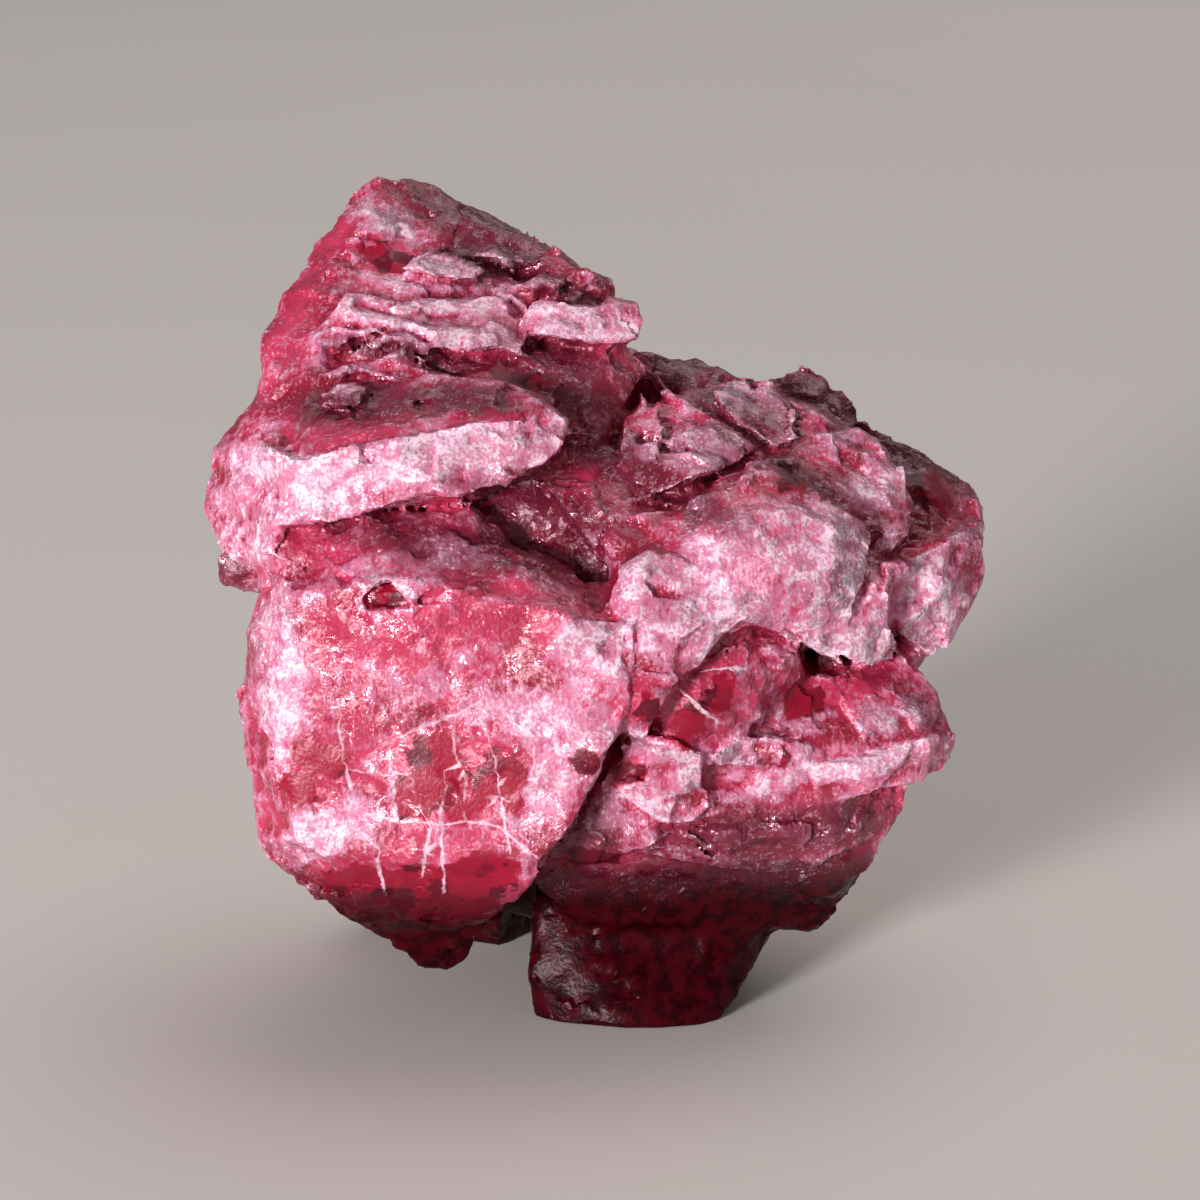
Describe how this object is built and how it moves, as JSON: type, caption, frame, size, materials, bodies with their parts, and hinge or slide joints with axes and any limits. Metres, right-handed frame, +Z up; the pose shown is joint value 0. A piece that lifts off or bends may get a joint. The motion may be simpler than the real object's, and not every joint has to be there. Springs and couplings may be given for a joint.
{
  "type": "raw spinel crystal group",
  "caption": "Rough pink-red spinel: octahedral crystals grown together in stepped plates and blocks, standing on a short flat-ended foot.",
  "frame": {"origin": "centre of the bounding box, at the resting flat under the foot", "axes": "+Z up as it stands; -Y is the front, with the big plate at the lower left (-X) and the stepped crown at the upper left"},
  "size_m": [0.0162, 0.0124, 0.0165],
  "materials": {
    "spinel": "natural crystal: frosted pink skin, sparkling steps, clear red windows with pale healed cracks"
  },
  "bodies": {
    "root": {"spinel": "spinel"}
  },
  "joints": []
}
